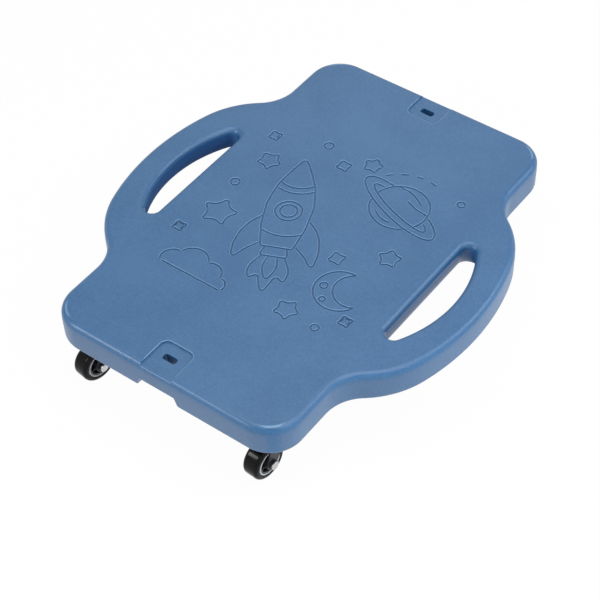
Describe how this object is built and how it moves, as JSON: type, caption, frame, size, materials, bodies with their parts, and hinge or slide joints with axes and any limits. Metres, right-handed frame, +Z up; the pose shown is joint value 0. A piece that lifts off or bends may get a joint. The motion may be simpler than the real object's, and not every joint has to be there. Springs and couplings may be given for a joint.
{
  "type": "scooter board",
  "caption": "Low sit-on scooter board: moulded plastic deck with curved side handles and hand slots, a latch slot at each end, on swivel casters.",
  "frame": {"origin": "middle of the board on the floor, between the four wheels", "axes": "+Z up, +Y along the board towards its rear end, +X across it towards the right-hand handle"},
  "size_m": [0.5006, 0.58, 0.1135],
  "materials": {
    "deck_plastic": "satin, moulded",
    "plated_steel": "zinc plated",
    "screw_steel": "zinc plated",
    "rivet_steel": "bright plated",
    "black_washer": "black, satin",
    "fork_paint": "dark grey, satin",
    "hub_plastic": "moulded",
    "rim_plastic": "moulded",
    "tyre_rubber": "smooth, glossy"
  },
  "bodies": {
    "board": {"deck": "deck_plastic", "front_left_plate": "plated_steel", "front_left_kingpin": "plated_steel", "front_left_ball_ring": "plated_steel", "front_left_screw_1": "screw_steel", "front_left_screw_2": "screw_steel", "front_left_screw_3": "screw_steel", "front_left_screw_4": "screw_steel", "front_right_plate": "plated_steel", "front_right_kingpin": "plated_steel", "front_right_ball_ring": "plated_steel", "front_right_screw_1": "screw_steel", "front_right_screw_2": "screw_steel", "front_right_screw_3": "screw_steel", "front_right_screw_4": "screw_steel", "rear_left_plate": "plated_steel", "rear_left_kingpin": "plated_steel", "rear_left_ball_ring": "plated_steel", "rear_left_screw_1": "screw_steel", "rear_left_screw_2": "screw_steel", "rear_left_screw_3": "screw_steel", "rear_left_screw_4": "screw_steel", "rear_right_plate": "plated_steel", "rear_right_kingpin": "plated_steel", "rear_right_ball_ring": "plated_steel", "rear_right_screw_1": "screw_steel", "rear_right_screw_2": "screw_steel", "rear_right_screw_3": "screw_steel", "rear_right_screw_4": "screw_steel"},
    "front_left_fork_set": {"front_left_fork": "fork_paint", "front_left_axle_rivet": "rivet_steel", "front_left_axle_washer": "black_washer", "front_left_axle_sleeve": "plated_steel"},
    "front_left_wheel": {"front_left_hub": "hub_plastic", "front_left_rim": "rim_plastic", "front_left_tyre": "tyre_rubber"},
    "front_right_fork_set": {"front_right_fork": "fork_paint", "front_right_axle_rivet": "rivet_steel", "front_right_axle_washer": "black_washer", "front_right_axle_sleeve": "plated_steel"},
    "front_right_wheel": {"front_right_hub": "hub_plastic", "front_right_rim": "rim_plastic", "front_right_tyre": "tyre_rubber"},
    "rear_left_fork_set": {"rear_left_fork": "fork_paint", "rear_left_axle_rivet": "rivet_steel", "rear_left_axle_washer": "black_washer", "rear_left_axle_sleeve": "plated_steel"},
    "rear_left_wheel": {"rear_left_hub": "hub_plastic", "rear_left_rim": "rim_plastic", "rear_left_tyre": "tyre_rubber"},
    "rear_right_fork_set": {"rear_right_fork": "fork_paint", "rear_right_axle_rivet": "rivet_steel", "rear_right_axle_washer": "black_washer", "rear_right_axle_sleeve": "plated_steel"},
    "rear_right_wheel": {"rear_right_hub": "hub_plastic", "rear_right_rim": "rim_plastic", "rear_right_tyre": "tyre_rubber"}
  },
  "joints": [
    {"name": "front_left_swivel", "type": "hinge", "parent": "board", "child": "front_left_fork_set", "pos_m": [-0.128, -0.24, 0.0634], "axis": [0, 0, 1], "continuous": true},
    {"name": "front_left_spin", "type": "hinge", "parent": "front_left_fork_set", "child": "front_left_wheel", "pos_m": [-0.13125, -0.26176, 0.025], "axis": [0.989, -0.1478, 0], "continuous": true},
    {"name": "front_right_swivel", "type": "hinge", "parent": "board", "child": "front_right_fork_set", "pos_m": [0.128, -0.24, 0.0634], "axis": [0, 0, 1], "continuous": true},
    {"name": "front_right_spin", "type": "hinge", "parent": "front_right_fork_set", "child": "front_right_wheel", "pos_m": [0.12647, -0.26195, 0.025], "axis": [0.9976, -0.0698, 0], "continuous": true},
    {"name": "rear_left_swivel", "type": "hinge", "parent": "board", "child": "rear_left_fork_set", "pos_m": [-0.128, 0.24, 0.0634], "axis": [0, 0, 1], "continuous": true},
    {"name": "rear_left_spin", "type": "hinge", "parent": "rear_left_fork_set", "child": "rear_left_wheel", "pos_m": [-0.13068, 0.21816, 0.025], "axis": [0.9925, -0.1219, 0], "continuous": true},
    {"name": "rear_right_swivel", "type": "hinge", "parent": "board", "child": "rear_right_fork_set", "pos_m": [0.128, 0.24, 0.0634], "axis": [0, 0, 1], "continuous": true},
    {"name": "rear_right_spin", "type": "hinge", "parent": "rear_right_fork_set", "child": "rear_right_wheel", "pos_m": [0.12685, 0.21803, 0.025], "axis": [0.9986, -0.0523, 0], "continuous": true}
  ]
}
